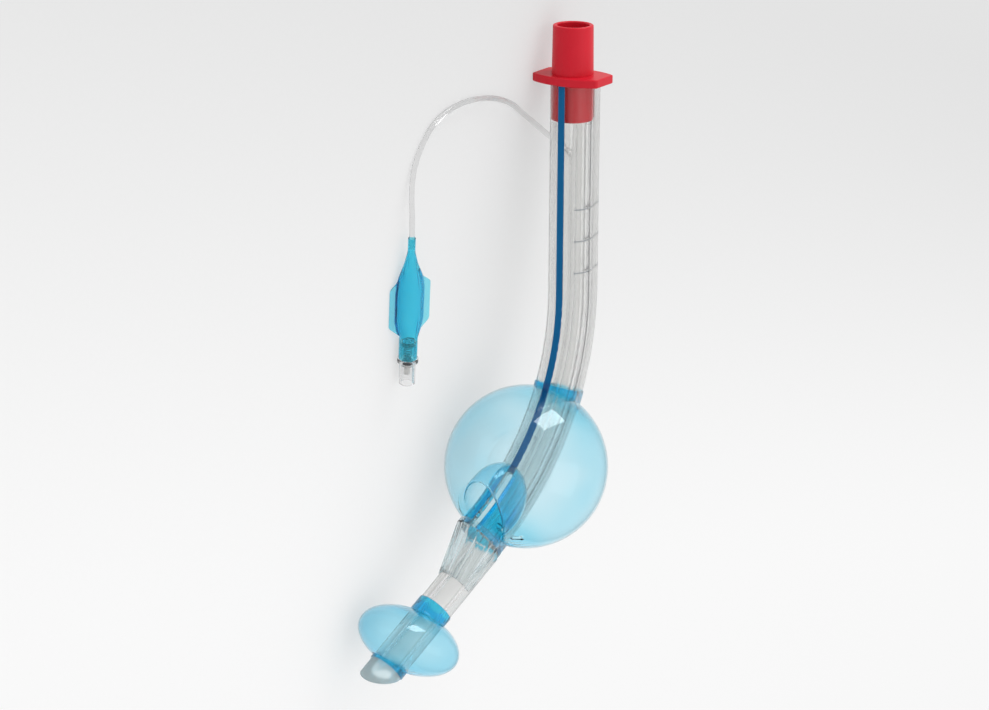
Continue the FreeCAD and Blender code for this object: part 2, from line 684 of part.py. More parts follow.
# Pilot balloon in its own frame: Z runs from the neck to the valve, X across the two flat seams.
pilotBalloon = doc.addObject("PartDesign::Body", "pilotBalloon")
bellyStart = "Sizes.neckLength + Sizes.pilotTaper"
bellyEnd = bellyStart + " + Sizes.pilotBelly"
sleeveStart = bellyEnd + " + Sizes.pilotShoulder"
pilotLength = sleeveStart + " + Sizes.sleeveLength"
sleeveBore = "Sizes.sleeveRadius - Sizes.pilotWall"
turned(pilotBalloon, "Revolution", "Skin", [
    ("0", "0"),
    ("Sizes.neckRadius", "0"),
    ("Sizes.neckRadius", "Sizes.neckLength"),
    ("Sizes.pilotRadius", bellyStart),
    ("Sizes.pilotRadius", bellyEnd),
    ("Sizes.sleeveRadius", sleeveStart),
    ("Sizes.sleeveRadius", pilotLength),
    ("0", pilotLength),
])
seamSketch = sketchOn(pilotBalloon, "XZ_Plane", "SeamOutline")
polygon(seamSketch, [
    ("Sizes.seamRoot", "Sizes.neckLength + Sizes.seamTop"),
    ("Sizes.seamHalf", "Sizes.neckLength + Sizes.seamTop + Sizes.seamSlope"),
    ("Sizes.seamHalf", sleeveStart + " - Sizes.seamSlope"),
    ("Sizes.seamRoot", sleeveStart),
    ("-Sizes.seamRoot", sleeveStart),
    ("-Sizes.seamHalf", sleeveStart + " - Sizes.seamSlope"),
    ("-Sizes.seamHalf", "Sizes.neckLength + Sizes.seamTop + Sizes.seamSlope"),
    ("-Sizes.seamRoot", "Sizes.neckLength + Sizes.seamTop"),
])
seams = pilotBalloon.newObject("PartDesign::Pad", "Seams")
seams.Profile = seamSketch
seams.Midplane = True
bind(seams, Length="Sizes.seamThickness")
fillet(
    pilotBalloon, "SeamCorners", "Sizes.seamCorner",
    lambda edge: edge.BoundBox.XLength < 0.01 and edge.BoundBox.YLength > 0.1,
)
turned(pilotBalloon, "Groove", "Hollow", [
    ("0", "0"),
    (lineBore, "0"),
    (lineBore, "Sizes.neckLength"),
    ("Sizes.pilotRadius - Sizes.pilotWall", bellyStart),
    ("Sizes.pilotRadius - Sizes.pilotWall", bellyEnd),
    (sleeveBore, sleeveStart),
    (sleeveBore, pilotLength),
    ("0", pilotLength),
])

# Valve body: Z runs out of the mouth, origin where the pilot balloon's sleeve ends.
valveBody = doc.addObject("PartDesign::Body", "valveBody")
stubRadius = sleeveBore + " - Sizes.bondClearance"
mouthHeight = "Sizes.collarHeight + Sizes.barrelLength"
webTop = mouthHeight + " - Sizes.luerDepth"
webUnder = webTop + " - Sizes.webThickness"
chamberRadius = "Sizes.chamberRadius"
luerFoot = "Sizes.luerRadius - Sizes.luerDepth * Sizes.luerTaper"
turned(valveBody, "Revolution", "Housing", [
    ("0", "-Sizes.stubLength"),
    (stubRadius, "-Sizes.stubLength"),
    (stubRadius, "0"),
    ("Sizes.collarRadius", "0"),
    ("Sizes.collarRadius", "Sizes.collarHeight"),
    ("Sizes.barrelRadius", "Sizes.collarHeight"),
    ("Sizes.barrelRadius", mouthHeight),
    ("0", mouthHeight),
])
fillet(
    valveBody, "CollarRound", "Sizes.collarRound",
    lambda edge: edge.BoundBox.XMax > measure("Sizes.collarRadius") - 0.01 and edge.BoundBox.ZLength < 0.01,
)
turned(valveBody, "Groove", "Passage", [
    ("0", "-Sizes.stubLength"),
    (chamberRadius, "-Sizes.stubLength"),
    (chamberRadius, webUnder),
    ("Sizes.stemRadius + Sizes.stemClearance", webUnder),
    ("Sizes.stemRadius + Sizes.stemClearance", webTop),
    (luerFoot, webTop),
    ("Sizes.luerRadius", mouthHeight),
    ("0", mouthHeight),
])

# Plunger pressed by a syringe tip: a rod with a flange that carries the seal and takes the spring.
valveStem = doc.addObject("PartDesign::Body", "valveStem")
sealUnder = webUnder + " - Sizes.sealThickness"
plateUnder = sealUnder + " - Sizes.stemPlate"
stemTip = mouthHeight + " - Sizes.stemDepth"
turned(valveStem, "Revolution", "Rod", [
    ("0", plateUnder + " - Sizes.stemTail"),
    ("Sizes.tailRadius", plateUnder + " - Sizes.stemTail"),
    ("Sizes.tailRadius", plateUnder),
    ("Sizes.plateRadius", plateUnder),
    ("Sizes.plateRadius", sealUnder),
    ("Sizes.stemRadius", sealUnder),
    ("Sizes.stemRadius", stemTip),
    ("0", stemTip),
])
valveSeal = doc.addObject("PartDesign::Body", "valveSeal")
turned(valveSeal, "Revolution", "Washer", [
    ("Sizes.stemRadius", sealUnder),
    ("Sizes.sealRadius", sealUnder),
    ("Sizes.sealRadius", webUnder),
    ("Sizes.stemRadius", webUnder),
])

# Spring between the stem's flange and the cage, and the cage itself with its air holes.
cageTop = "Sizes.cageThickness - Sizes.stubLength"
springRoom = plateUnder + " - (" + cageTop + ")"
springCoil = doc.addObject("Part::Helix", "springCoil")
bind(
    springCoil, Radius="Sizes.springRadius", Height=springRoom + " - 2 * Sizes.wireRadius",
    Pitch="(" + springRoom + " - 2 * Sizes.wireRadius) / Sizes.springTurns",
)
springWire = bind(doc.addObject("Part::Circle", "springWire"), Radius="Sizes.wireRadius")
springWire.Placement = at(measure("Sizes.springRadius"), 0, 0, Vector(1, 0, 0), 90)
valveSpring = doc.addObject("Part::Sweep", "valveSpring")
valveSpring.Sections = [springWire]
valveSpring.Spine = springCoil
valveSpring.Solid = True
valveSpring.Frenet = True
valveCage = doc.addObject("PartDesign::Body", "valveCage")
cageSketch = sketchOn(valveCage, "XY_Plane", "CageOutline")
roundSection(chamberRadius)(cageSketch)
cageDisc = valveCage.newObject("PartDesign::Pad", "Disc")
cageDisc.Profile = cageSketch
bind(cageDisc, Length="Sizes.cageThickness")
ventSketch = sketchOn(valveCage, "XY_Plane", "VentOutline")
roundSection("Sizes.ventHoleRadius", "Sizes.ventHoleOut")(ventSketch)
ventHole = valveCage.newObject("PartDesign::Pocket", "VentHole")
ventHole.Profile = ventSketch
ventHole.Reversed = True
bind(ventHole, Length="Sizes.cageThickness")
doc.recompute()
vents = valveCage.newObject("PartDesign::PolarPattern", "Vents")
vents.Originals = [ventHole]
vents.Axis = (ventSketch, ["N_Axis"])
vents.Angle = 360
vents.Occurrences = 4
valveCage.Tip = vents

# The tube lies on the flange's flat end and the throat cuff, ventilation side level.
ballOver = sectionAt(measure("Sizes.throatCuffStation")) * Vector(-measure("Sizes.throatCuffBack"), 0, 0)
uprightSection = Rotation(upAxis, -measure("Sizes.sectionTurn"))
ballCentre = uprightSection.multVec(ballOver)
edgeRise = measure("Sizes.flangeThickness - Sizes.flangeRound")
edgeSide = measure("Sizes.flangeRound - Sizes.flangeLength / 2")
away, aside = edgeRise - ballCentre.z, ballCentre.y - edgeSide
rise = measure("Sizes.throatCuffRadius - Sizes.flangeRound")
slope = math.degrees(math.asin(rise / math.hypot(away, aside)) - math.atan2(aside, away))
laid = Rotation(Vector(-1, 0, 0), upAxis, Vector(0, 1, 0), "XYZ")
tilt = Rotation(Vector(1, 0, 0), -slope)
lying = Placement(Vector(), tilt * laid * uprightSection)
edgeHeight = (tilt * laid).multVec(Vector(0, edgeSide, edgeRise)).z - measure("Sizes.flangeRound")
lying = Placement(Vector(0, 0, -edgeHeight), Rotation()) * lying


# Pilot balloon and valve lie on the floor beside the tube, on the valve's collar and one seam.
heading = math.radians(measure("Sizes.pilotHeading"))
pilotAxis = Vector(math.sin(heading), -math.cos(heading), 0)
pilotRoll = math.asin(measure("(Sizes.collarRadius - Sizes.seamThickness / 2) / Sizes.seamHalf"))
seamWay = Vector(-pilotAxis.y, pilotAxis.x, 0) * math.cos(pilotRoll) + upAxis * math.sin(pilotRoll)
neck = Vector(-measure("Sizes.pilotAcross"), -measure("Sizes.pilotAlong"), measure("Sizes.collarRadius"))
pilotPose = Placement(neck, Rotation(seamWay, pilotAxis.cross(seamWay), pilotAxis, "XYZ"))
valvePose = pilotPose * at(0, 0, measure(pilotLength))


# Path of straight runs joined by tangent arcs, each arc as large as its two runs allow.
def routeThrough(points):
    edges = []
    last = points[0]
    for before, corner, after in zip(points, points[1:], points[2:]):
        inward, outward = before - corner, after - corner
        run = 0.45 * min(inward.Length, outward.Length)
        half = (math.pi - inward.getAngle(outward)) / 2
        radius = run / math.tan(half)
        inward.normalize()
        outward.normalize()
        middle = corner + (inward + outward).normalize() * (radius / math.cos(half) - radius)
        edges.append(Part.makeLine(last, corner + inward * run))
        edges.append(Part.Arc(corner + inward * run, middle, corner + outward * run).toShape())
        last = corner + outward * run
        print("line bend radius", round(radius, 1))
    edges.append(Part.makeLine(last, points[-1]))
    return Part.Wire(edges)


# The line leaves the wall, comes down to the floor, swings round and rises into the neck.
exitPoint = lying.multVec(lineRoot.Base)
exitWay = lying.Rotation.multVec(lineWay)
landing = (exitPoint.z - measure("Sizes.lineRadius")) / -exitWay.z
route = [
    exitPoint + exitWay * measure("Sizes.lineSeat"),
    exitPoint + exitWay * landing,
    Vector(-25.1, -5.4, 1.0),
    Vector(-53.1, -0.4, 1.0),
    Vector(-75.1, -3.9, 1.0),
    Vector(-84.6, -16.9, 1.0),
    Vector(-86.3, -27.9, 1.8),
    neck - pilotAxis * measure("Sizes.lineLead"),
    neck + pilotAxis * measure("Sizes.lineInNeck"),
]
linePath = doc.addObject("Part::Feature", "linePath")
linePath.Shape = routeThrough(route)
lineSection = bind(doc.addObject("Part::Circle", "lineSection"), Radius="Sizes.lineRadius")
lineSection.Placement = Placement(route[0], Rotation(upAxis, exitWay))
inflationLine = doc.addObject("Part::Sweep", "inflationLine")
inflationLine.Sections = [lineSection]
inflationLine.Spine = linePath
inflationLine.Solid = True

doc.recompute()
for thing in doc.Objects:
    if "Invalid" in thing.State or "Error" in thing.State:
        raise RuntimeError("%s failed" % thing.Name)

# The origin goes under the middle of what stands on the floor, the line and pilot balloon left out.
tubePieces = {
    "connector": (connector, sectionAt(0)),
    "airway_tube": (airwayTube, Placement()),
    "contrast_stripe": (contrastStripe, Placement()),
    "pharyngeal_cuff": (throatCuff, Placement()),
    "oesophageal_cuff": (gulletCuff, Placement()),
    "ventilation_ramp": (ventilationRamp, Placement()),
}
reach = FreeCAD.BoundBox()
for piece, local in tubePieces.values():
    posed = piece.Shape.copy()
    posed.Placement = lying * local
    reach.add(posed.optimalBoundingBox(False, False))
settled = at(-reach.Center.x, -reach.Center.y, -reach.ZMin)
subparts = {label: (piece, lying * local) for label, (piece, local) in tubePieces.items()}
subparts.update({
    "inflation_line": (inflationLine, Placement()),
    "pilot_balloon": (pilotBalloon, pilotPose),
    "valve_body": (valveBody, valvePose),
    "valve_stem": (valveStem, valvePose),
    "valve_seal": (valveSeal, valvePose),
    "valve_spring": (valveSpring, valvePose * at(0, 0, measure(cageTop + " + Sizes.wireRadius"))),
    "valve_cage": (valveCage, valvePose * at(0, 0, -measure("Sizes.stubLength"))),
})
for label, (piece, place) in subparts.items():
    piece.Label = label
    piece.Placement = settled * place
doc.recompute()

os.makedirs("parts", exist_ok=True)
for thing in doc.Objects:
    if "Invalid" in thing.State or "Error" in thing.State:
        raise RuntimeError("%s failed" % thing.Name)
for label, (piece, _) in subparts.items():
    if piece.Shape.isNull() or not piece.Shape.isValid():
        raise RuntimeError("%s has no sound shape" % label)
for label, (piece, _) in subparts.items():
    piece.Shape.exportStep("parts/%s.step" % label)
    print(label, "volume", round(piece.Shape.Volume, 1), "placed", piece.Placement)
lineLength = linePath.Shape.Length
lineArea = math.pi * measure("Sizes.lineRadius") ** 2
print("line length", round(lineLength, 1), "volume by length", round(lineLength * lineArea, 1))
for point in route:
    print("route point", settled.multVec(point))
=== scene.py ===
import math

import bmesh
import bpy
import numpy as np
from mathutils import Matrix, Vector


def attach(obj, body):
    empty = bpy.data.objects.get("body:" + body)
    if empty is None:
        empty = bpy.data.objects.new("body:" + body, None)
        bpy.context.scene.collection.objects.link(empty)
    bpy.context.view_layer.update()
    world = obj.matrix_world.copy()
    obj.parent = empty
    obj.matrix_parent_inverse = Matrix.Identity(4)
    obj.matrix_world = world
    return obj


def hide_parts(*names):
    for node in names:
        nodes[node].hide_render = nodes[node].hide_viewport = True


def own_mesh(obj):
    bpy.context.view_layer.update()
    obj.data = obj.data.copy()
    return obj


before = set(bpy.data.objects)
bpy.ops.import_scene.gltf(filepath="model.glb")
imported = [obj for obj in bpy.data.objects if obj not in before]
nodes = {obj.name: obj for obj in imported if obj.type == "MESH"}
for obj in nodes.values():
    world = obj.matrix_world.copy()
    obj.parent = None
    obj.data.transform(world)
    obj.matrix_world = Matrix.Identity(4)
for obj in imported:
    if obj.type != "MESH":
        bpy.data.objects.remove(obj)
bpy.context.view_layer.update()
print("frame loaded:", len(nodes), "pieces")


def lightFrom(value):
    value /= 255
    return value / 12.92 if value <= 0.04045 else ((value + 0.055) / 1.055) ** 2.4


# Colours are written as they show on screen, 0 to 255
def paint(red, green, blue):
    return (lightFrom(red), lightFrom(green), lightFrom(blue), 1.0)


def dimmed(tone, share):
    return paint(*(value * share for value in tone))


def clamped(value, low, high):
    return min(max(value, low), high)


def addObject(name, data):
    item = bpy.data.objects.new(name, data)
    bpy.context.scene.collection.objects.link(item)
    return item


# Camera of the photograph
photoCamera = {
    "aim": (0.02592, -0.01035, 0.00709),
    "elevation": 26.23,
    "sideways": 23.65,  # from the -X side, towards the connector
    "roll": -8.95,
    "distance": 1.3,
    "focalPixels": 3383.0,
    "framePixels": 989,
    "sensor": 36.0,
    "nearest": 0.05,
    "farthest": 20.0,
}


def placeCamera(facts):
    rise, side, roll = (math.radians(facts[key]) for key in ("elevation", "sideways", "roll"))
    back = Vector((-math.cos(rise) * math.cos(side), math.cos(rise) * math.sin(side), math.sin(rise)))
    level = Vector((0, 1, 0)) - back * back.y
    level.normalize()
    up = level * math.cos(roll) + level.cross(back) * math.sin(roll)
    data = bpy.data.cameras.new("photoCamera")
    data.sensor_width = facts["sensor"]
    data.lens = facts["focalPixels"] / facts["framePixels"] * data.sensor_width
    data.clip_start = facts["nearest"]
    data.clip_end = facts["farthest"]
    camera = addObject("photoCamera", data)
    turn = Matrix((up.cross(back), up, back)).transposed().to_4x4()
    camera.matrix_world = Matrix.Translation(Vector(facts["aim"]) + back * facts["distance"]) @ turn
    bpy.context.scene.camera = camera


placeCamera(photoCamera)
print("camera placed")

# Shaft of the airway tube: origin under the flange, Z up the straight shaft, X into the bend.
# Stations are lengths along the shaft from there, down to the tip.
shaft = {
    "flange": (0.0400247, 0.0994741, 0.0142593),
    "slope": 9.3504,
    "sectionTurn": 18.0,
    "bendRadius": 0.1075,
    "straight": 0.082,
    "bend": 52.5,
    "throatStation": 0.1517,
    "gulletStation": 0.2319,
}
# The extrusion's section: an egg shape round both channels, and the drain channel alone past the hood
section = {
    "ventRadius": 0.0083,
    "drainRadius": 0.0059,
    "drainBack": 0.0094,
    "tailRadius": 0.0069,
    "tailBack": 0.0091,
}
slope, twist = math.radians(shaft["slope"]), math.radians(shaft["sectionTurn"])
lying = Matrix((
    (-math.cos(twist), -math.sin(twist), 0),
    (-math.sin(twist) * math.sin(slope), math.cos(twist) * math.sin(slope), math.cos(slope)),
    (-math.sin(twist) * math.cos(slope), math.cos(twist) * math.cos(slope), -math.sin(slope)),
))
# Angle round the section at which the egg shape's flat flanks begin
flankLean = math.acos((section["ventRadius"] - section["drainRadius"]) / section["drainBack"])


# Centre of the tube's section at a station, and its turn: X to the ventilation side, Z up the tube
def sectionAt(station):
    radius, bend = shaft["bendRadius"], math.radians(shaft["bend"])
    turn = clamped((station - shaft["straight"]) / radius, 0, bend)
    beyond = max(station - shaft["straight"] - bend * radius, 0)
    into = radius * (1 - math.cos(turn)) + math.sin(turn) * beyond
    down = min(station, shaft["straight"]) + radius * math.sin(turn) + math.cos(turn) * beyond
    centre = Vector(shaft["flange"]) + lying @ Vector((into, 0, -down))
    bent = Matrix.Rotation(-turn, 3, "Y") @ Matrix.Rotation(twist, 3, "Z")
    return centre, lying @ bent


shaftTop, shaftTurn = sectionAt(0.0)
throatCentre, throatTurn = sectionAt(shaft["throatStation"])
tailCentre, tailTurn = sectionAt(shaft["gulletStation"])

# Shader helpers
socketNames = {
    "rough": "Roughness",
    "clear": "Transmission Weight",
    "index": "IOR",
    "shine": "Specular IOR Level",
    "metal": "Metallic",
    "coat": "Coat Weight",
    "coatRough": "Coat Roughness",
}


def addNode(tree, kind, sockets=None, **settings):
    node = tree.nodes.new(kind)
    for name, value in settings.items():
        setattr(node, name, value)
    for name, value in (sockets or {}).items():
        if isinstance(value, bpy.types.NodeSocket):
            tree.links.new(value, node.inputs[name])
        else:
            node.inputs[name].default_value = value
    return node


def newMaterial(name, **fixed):
    material = bpy.data.materials.new(name)
    material.use_nodes = True
    tree = material.node_tree
    shader = tree.nodes["Principled BSDF"]
    for key, value in fixed.items():
        shader.inputs[socketNames[key]].default_value = value
    return material, tree, shader


# Object coordinates, seen from a place and turn of the piece's own
def placeFrom(tree, origin=(0, 0, 0), turn=Matrix.Identity(3)):
    spot = addNode(tree, "ShaderNodeTexCoord").outputs["Object"]
    sockets = {"Vector": spot, "Location": origin, "Rotation": turn.to_euler()}
    return addNode(tree, "ShaderNodeMapping", sockets, vector_type="TEXTURE").outputs["Vector"]


def partsOf(tree, place):
    return addNode(tree, "ShaderNodeSeparateXYZ", {0: place}).outputs


# Distance from the local Z axis
def offAxis(tree, place):
    flat = addNode(tree, "ShaderNodeVectorMath", {0: place, 1: (1, 1, 0)}, operation="MULTIPLY")
    return addNode(tree, "ShaderNodeVectorMath", {0: flat.outputs[0]}, operation="LENGTH").outputs["Value"]


def noiseOn(tree, place, scale, detail=2.0, stretch=(1, 1, 1)):
    stretched = addNode(tree, "ShaderNodeMapping", {"Vector": place, "Scale": stretch})
    sockets = {"Vector": stretched.outputs["Vector"], "Scale": scale, "Detail": detail}
    return addNode(tree, "ShaderNodeTexNoise", sockets).outputs["Fac"]


def fade(tree, value, low, high, start=0.0, end=1.0):
    sockets = {"Value": value, "From Min": low, "From Max": high, "To Min": start, "To Max": end}
    return addNode(tree, "ShaderNodeMapRange", sockets, interpolation_type="SMOOTHSTEP").outputs["Result"]


def sums(tree, operation, first, second=0.0):
    return addNode(tree, "ShaderNodeMath", {0: first, 1: second}, operation=operation).outputs[0]


# The Mix node's colour sockets: factor 0, colours 6 and 7, result 2
def mixed(tree, factor, first, second):
    return addNode(tree, "ShaderNodeMix", {0: factor, 6: first, 7: second}, data_type="RGBA").outputs[2]


def colourBy(tree, shader, factor, first, second):
    tree.links.new(mixed(tree, factor, first, second), shader.inputs["Base Color"])


def bumpBy(tree, shader, height, facts):
    sockets = {"Height": height, "Strength": facts["bump"], "Distance": facts["relief"]}
    bump = addNode(tree, "ShaderNodeBump", sockets)
    tree.links.new(bump.outputs["Normal"], shader.inputs["Normal"])


def absorb(tree, colour, density):
    soak = addNode(tree, "ShaderNodeVolumeAbsorption", {"Color": colour, "Density": density})
    tree.links.new(soak.outputs["Volume"], tree.nodes["Material Output"].inputs["Volume"])


# Moulded red connector: fine spark-eroded grain and the mould's parting line
connectorFinish = {
    "red": (212, 22, 44),
    "shade": (200, 17, 38),
    "rough": 0.4,
    "shine": 0.25,
    "mottle": 90.0,
    "grain": 2600.0,
    "grainShare": 0.25,  # of the parting line's height
    "partingHalf": 0.00012,
    "bump": 0.25,
    "relief": 0.00006,
}


def redPlastic(facts):
    material, tree, shader = newMaterial("redPlastic", rough=facts["rough"], shine=facts["shine"])
    place = placeFrom(tree, shaftTop, shaftTurn)
    mottle = noiseOn(tree, place, facts["mottle"])
    colourBy(tree, shader, mottle, paint(*facts["red"]), paint(*facts["shade"]))
    grain = sums(tree, "MULTIPLY", noiseOn(tree, place, facts["grain"], detail=4.0), facts["grainShare"])
    across = sums(tree, "ABSOLUTE", partsOf(tree, place)["X"])
    parting = fade(tree, across, 0, facts["partingHalf"], 1.0, 0.0)
    bumpBy(tree, shader, sums(tree, "ADD", grain, parting), facts)
    return material


# Clear airway tube with lines of extrusion along it. Where the connector's spigot grips its bore,
# the wall shows the spigot's red. The tip is drawn paler, bluish and less clear: painted light for its
# bright highlights and the light through it.
tubeFinish = {
    "clear": (246, 246, 245),
    "clearness": 0.95,
    "rough": 0.14,
    "index": 1.42,
    "soak": (0.80, 0.81, 0.82, 1.0),
    "density": 26.0,
    "grip": (228, 12, 34),
    "gripRadius": 0.00576,
    "gripLength": 0.0145,
    "topFade": (-0.019, -0.015),  # fully clear above this, round the spigot
    # painted light: the tip's paler bluish tone and lower clearness stand in for its highlights and the
    # light through it
    "tip": (236, 251, 254),
    "tipClearness": 0.66,
    "tipFade": (-0.0155, -0.008),
    "lines": 260.0,
    "linesStretch": (1, 1, 0.08),
    "bump": 0.03,
    "relief": 0.0002,
}


def clearTube(facts):
    material, tree, shader = newMaterial("clearTube", rough=facts["rough"], index=facts["index"])
    place = placeFrom(tree, shaftTop, shaftTurn)
    height = partsOf(tree, place)["Z"]
    outside = sums(tree, "GREATER_THAN", offAxis(tree, place), facts["gripRadius"])
    below = sums(tree, "LESS_THAN", height, -facts["gripLength"])
    loose = sums(tree, "MAXIMUM", outside, below)
    tipHeight = partsOf(tree, placeFrom(tree, tailCentre, tailTurn))["Z"]
    # painted light at the tip: paler, bluish and less clear, for its highlights and the light through it
    aboveTip = fade(tree, tipHeight, *facts["tipFade"])
    plain = mixed(tree, aboveTip, paint(*facts["tip"]), paint(*facts["clear"]))
    colourBy(tree, shader, loose, paint(*facts["grip"]), plain)
    body = fade(tree, tipHeight, *facts["tipFade"], facts["tipClearness"], facts["clearness"])
    clearness = sums(tree, "MAXIMUM", body, fade(tree, height, *facts["topFade"]))
    tree.links.new(sums(tree, "MULTIPLY", loose, clearness), shader.inputs["Transmission Weight"])
    lines = noiseOn(tree, place, facts["lines"], detail=1.0, stretch=facts["linesStretch"])
    bumpBy(tree, shader, lines, facts)
    absorb(tree, facts["soak"], facts["density"])
    return material


# Film of a cuff: pale on the ball, deeper towards its poles and where it is bonded to the tube
filmFinish = {
    "ball": (246, 252, 254),
    "deep": (206, 243, 251),
    "deepFrom": 0.55,  # share of the way from the middle to a pole
    "bond": (76, 226, 255),
    "bondFade": (0.3, 0.7),
    "rough": 0.06,
    "index": 1.22,
    "gloss": 0.5,
    "glossRough": 0.05,
    "soak": (0.0, 0.74, 0.92, 1.0),
    "drawn": 28.0,
    "drawnFade": (0.42, 0.75),
    "drawnShare": 0.6,
    "pleats": 36,
    "pleatFrom": 0.86,
    "skin": 120.0,
    "skinShare": 0.6,
    "bump": 0.3,
    "relief": 0.00012,
}


def cuffFilm(name, cuff, facts):
    material, tree, shader = newMaterial(
        name, rough=facts["rough"], clear=1.0, index=facts["index"],
        coat=facts["gloss"], coatRough=facts["glossRough"])
    place = placeFrom(tree, cuff["centre"], cuff["turn"])
    parts = partsOf(tree, place)
    pole = cuff["radii"][2]
    high = sums(tree, "ABSOLUTE", parts["Z"])
    poleward = fade(tree, high, pole * facts["deepFrom"], pole)
    drawn = fade(tree, noiseOn(tree, place, facts["drawn"], detail=1.0), *facts["drawnFade"])
    patches = sums(tree, "MULTIPLY", drawn, facts["drawnShare"])
    deeper = sums(tree, "MINIMUM", sums(tree, "ADD", poleward, patches), 1.0)
    film = mixed(tree, deeper, paint(*facts["ball"]), paint(*facts["deep"]))
    bonded = addNode(tree, "ShaderNodeAttribute", attribute_name="bonded").outputs["Fac"]
    colourBy(tree, shader, fade(tree, bonded, *facts["bondFade"]), film, paint(*facts["bond"]))
    angle = sums(tree, "ARCTAN2", parts["Y"], parts["X"])
    ripple = sums(tree, "SINE", sums(tree, "MULTIPLY", angle, facts["pleats"]))
    pleat = sums(tree, "MULTIPLY", ripple, fade(tree, high, pole * facts["pleatFrom"], pole))
    skin = sums(tree, "MULTIPLY", noiseOn(tree, place, facts["skin"], detail=3.0), facts["skinShare"])
    bumpBy(tree, shader, sums(tree, "ADD", pleat, skin), facts)
    absorb(tree, facts["soak"], cuff["density"])
    return material


# Clear plastics of the hood, the line and the valve's body, a little uneven in tone and surface
rampFinish = {
    "tone": (244, 250, 251),
    "shade": (232, 238, 239),
    "rough": 0.12,
    "index": 1.4,
    "waves": 300.0,
    "mottle": 75.0,
    "bump": 0.06,
    "relief": 0.0002,
    "soak": (0.3, 0.75, 0.85, 1.0),
    "density": 24.0,
}
lineFinish = {
    "tone": (242, 242, 242),
    "shade": (230, 230, 230),
    "rough": 0.08,
    "index": 1.32,
    "waves": 900.0,
    "mottle": 225.0,
    "bump": 0.1,
    "relief": 0.0002,
}
valveFinish = {
    "tone": (252, 252, 252),
    "shade": (240, 240, 240),
    "rough": 0.14,
    "index": 1.34,
    "waves": 1200.0,
    "mottle": 300.0,
    "bump": 0.1,
    "relief": 0.0002,
    "soak": (0.7, 0.72, 0.74, 1.0),
    "density": 16.0,
}


def plainClear(name, facts):
    material, tree, shader = newMaterial(name, rough=facts["rough"], clear=1.0, index=facts["index"])
    place = placeFrom(tree)
    mottle = noiseOn(tree, place, facts["mottle"])
    colourBy(tree, shader, mottle, paint(*facts["tone"]), paint(*facts["shade"]))
    bumpBy(tree, shader, noiseOn(tree, place, facts["waves"], detail=3.0), facts)
    if "soak" in facts:
        absorb(tree, facts["soak"], facts["density"])
    return material


# Pale plastic, rubber and steel inside the valve, with the same fine skin
mouldedSkin = {
    "mottle": 150.0,
    "shade": 0.93,
    "bump": 0.15,
    "relief": 0.00006,
}
whiteFinish = {"tone": (235, 235, 233), "rough": 0.4, "grain": 3000.0, "metal": 0.0}
rubberFinish = {"tone": (62, 62, 66), "rough": 0.6, "grain": 4000.0, "metal": 0.0}
steelFinish = {"tone": (186, 188, 192), "rough": 0.25, "grain": 6000.0, "metal": 1.0}


def moulded(name, facts):
    material, tree, shader = newMaterial(name, rough=facts["rough"], metal=facts["metal"])
    place = placeFrom(tree)
    mottle = noiseOn(tree, place, mouldedSkin["mottle"])
    colourBy(tree, shader, mottle, paint(*facts["tone"]), dimmed(facts["tone"], mouldedSkin["shade"]))
    bumpBy(tree, shader, noiseOn(tree, place, facts["grain"], detail=4.0), mouldedSkin)
    return material


# Dark stripe, drawn out lengthwise with the tube
stripeFinish = {
    "tone": (0, 104, 160),
    "shade": 0.86,
    "rough": 0.4,
    "shine": 0.15,
    "lines": 2200.0,
    "linesStretch": (1, 1, 0.03),
    "bump": 0.15,
    "relief": 0.0001,
}


def stripePlastic(facts):
    material, tree, shader = newMaterial("stripePlastic", rough=facts["rough"], shine=facts["shine"])
    place = placeFrom(tree, shaftTop, shaftTurn)
    drawn = noiseOn(tree, place, facts["lines"], stretch=facts["linesStretch"])
    colourBy(tree, shader, drawn, paint(*facts["tone"]), dimmed(facts["tone"], facts["shade"]))
    bumpBy(tree, shader, drawn, facts)
    return material


# Printed ticks: ink that has not taken evenly
inkFinish = {
    "tone": (120, 124, 128),
    "thin": (180, 184, 188),
    "rough": 0.55,
    "cover": 2500.0,
    "grain": 5000.0,
    "bump": 0.1,
    "relief": 0.00005,
}


def tickInk(facts):
    material, tree, shader = newMaterial("tickInk", rough=facts["rough"])
    place = placeFrom(tree)
    cover = noiseOn(tree, place, facts["cover"], detail=3.0)
    colourBy(tree, shader, cover, paint(*facts["tone"]), paint(*facts["thin"]))
    bumpBy(tree, shader, noiseOn(tree, place, facts["grain"]), facts)
    return material


# How far a point stands off the tube: the egg shape through the bend, the drain channel near the tip
def offBend(point):
    spot = lying.transposed() @ (point - Vector(shaft["flange"]))
    around = Vector((shaft["bendRadius"] - spot.x, -spot.z - shaft["straight"]))
    into, level = shaft["bendRadius"] - around.length, spot.y
    front = into * math.cos(twist) + level * math.sin(twist)
    side = abs(level * math.cos(twist) - into * math.sin(twist))
    behind = front + section["drainBack"]
    if math.atan2(side, front) < flankLean:
        return math.hypot(front, side) - section["ventRadius"]
    if math.atan2(side, behind) < flankLean:
        return side * math.sin(flankLean) + front * math.cos(flankLean) - section["ventRadius"]
    return math.hypot(behind, side) - section["drainRadius"]


def offTail(point):
    spot = tailTurn.transposed() @ (point - tailCentre)
    return math.hypot(spot.x + section["tailBack"], spot.y) - section["tailRadius"]


